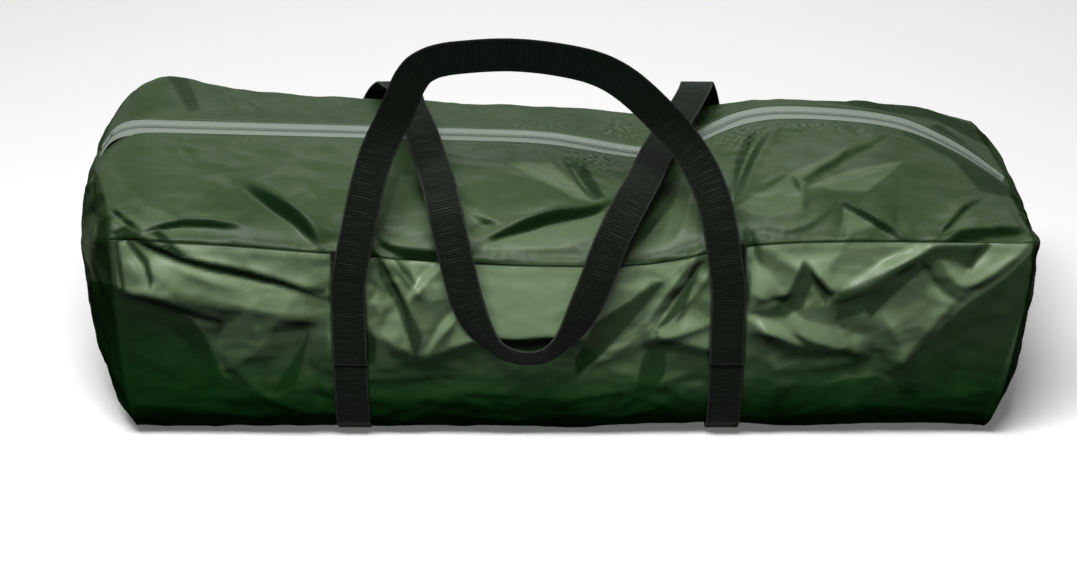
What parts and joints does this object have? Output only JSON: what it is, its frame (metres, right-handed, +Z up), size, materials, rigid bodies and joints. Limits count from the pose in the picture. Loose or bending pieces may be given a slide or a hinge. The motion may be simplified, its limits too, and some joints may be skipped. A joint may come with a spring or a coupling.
{
  "type": "tipi tent packed in its carry bag",
  "caption": "Tipi tent rolled and packed in a long coated-fabric duffel with a lengthwise top zip and webbing carry handles over girth straps.",
  "frame": {"origin": "middle of the flat underside, on the surface that the bag rests on", "axes": "+X along the bag to the right, -Y towards the viewer of the front with the hanging handle, +Z up"},
  "size_m": [0.8605, 0.335, 0.3762],
  "materials": {
    "bag_fabric": "satin coated nylon",
    "zip_tape": "woven",
    "zip_teeth": "satin",
    "zip_metal": "plated zinc",
    "webbing": "ribbed polypropylene weave",
    "groundsheet": "coated",
    "canopy_cloth": "woven",
    "pole_steel": "powder coated",
    "peg_steel": "zinc plated"
  },
  "bodies": {
    "bag": {"front_upper_panel": "bag_fabric", "back_upper_panel": "bag_fabric", "base_panel": "bag_fabric", "left_end_panel": "bag_fabric", "right_end_panel": "bag_fabric", "front_zip_tape": "zip_tape", "back_zip_tape": "zip_tape", "front_zip_teeth": "zip_teeth", "back_zip_teeth": "zip_teeth", "left_zip_stop": "zip_metal", "right_zip_stop": "zip_metal", "left_girth_strap": "webbing", "right_girth_strap": "webbing", "front_handle_end_left": "webbing", "front_handle_end_right": "webbing", "back_handle_end_left": "webbing", "back_handle_end_right": "webbing", "groundsheet_bundle": "groundsheet", "canopy_bundle": "canopy_cloth", "canopy_tie_left": "webbing", "canopy_tie_right": "webbing", "pole_section_1": "pole_steel", "pole_section_2": "pole_steel", "pole_section_3": "pole_steel", "pole_section_4": "pole_steel", "peg_bag": "bag_fabric", "peg_1": "peg_steel", "peg_2": "peg_steel", "peg_3": "peg_steel", "peg_4": "peg_steel", "peg_5": "peg_steel", "peg_6": "peg_steel", "peg_7": "peg_steel", "peg_8": "peg_steel"},
    "front_handle": {"front_handle": "webbing"},
    "back_handle": {"back_handle": "webbing"},
    "left_zip_slider": {"left_zip_slider": "zip_metal"},
    "left_zip_pull": {"left_zip_pull": "zip_metal"},
    "right_zip_slider": {"right_zip_slider": "zip_metal"},
    "right_zip_pull": {"right_zip_pull": "zip_metal"}
  },
  "joints": [
    {"name": "front_handle_fold", "type": "hinge", "parent": "bag", "child": "front_handle", "pos_m": [0, -0.15304, 0.139], "axis": [1, 0, 0], "range_deg": [0, 130]},
    {"name": "back_handle_fold", "type": "hinge", "parent": "bag", "child": "back_handle", "pos_m": [0, 0.15315, 0.118], "axis": [-1, 0, 0], "range_deg": [0, 130]},
    {"name": "left_zip_slide", "type": "slide", "parent": "bag", "child": "left_zip_slider", "axis": [-0.9996, 0, 0.029], "range_m": [0, 0.205]},
    {"name": "left_pull_tilt", "type": "hinge", "parent": "left_zip_slider", "child": "left_zip_pull", "pos_m": [-0.14535, 0, 0.24358], "axis": [0, 1, 0], "range_deg": [0, 100]},
    {"name": "right_zip_slide", "type": "slide", "parent": "bag", "child": "right_zip_slider", "axis": [0.9996, 0, -0.029], "range_m": [0, 0.09]},
    {"name": "right_pull_tilt", "type": "hinge", "parent": "right_zip_slider", "child": "right_zip_pull", "pos_m": [-0.13025, 0, 0.24315], "axis": [0, -1, 0], "range_deg": [0, 100]}
  ]
}
